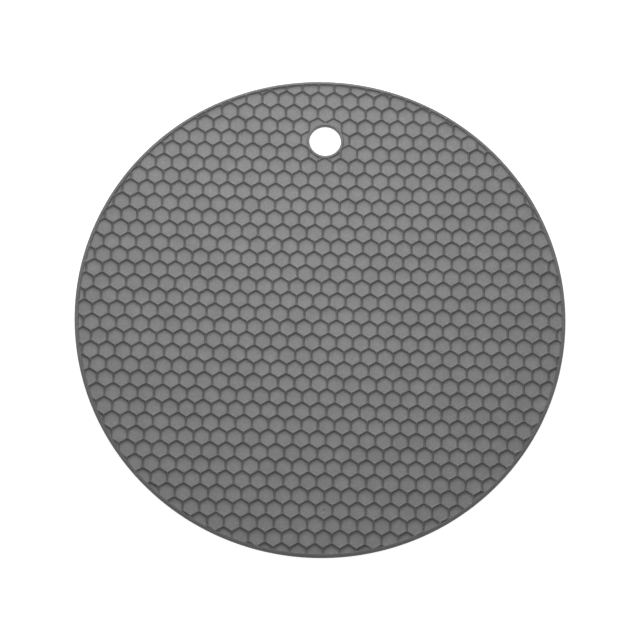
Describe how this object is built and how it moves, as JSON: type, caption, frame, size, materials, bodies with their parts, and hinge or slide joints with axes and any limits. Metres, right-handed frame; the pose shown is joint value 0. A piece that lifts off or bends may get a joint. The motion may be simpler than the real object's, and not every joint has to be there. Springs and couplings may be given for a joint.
{
  "type": "jar opener mat",
  "caption": "Thin round rubber mat for gripping jar lids, with a honeycomb of shallow pockets, a raised rim and a hang hole near its edge.",
  "frame": {"origin": "centre of the disc on its underside", "axes": "+Z out of the upper face, +Y from the disc's centre towards the hang hole, +X to the right"},
  "size_m": [0.18, 0.18, 0.0027],
  "materials": {
    "grey_silicone": "matte moulded"
  },
  "bodies": {
    "root": {"mat": "grey_silicone"}
  },
  "joints": []
}
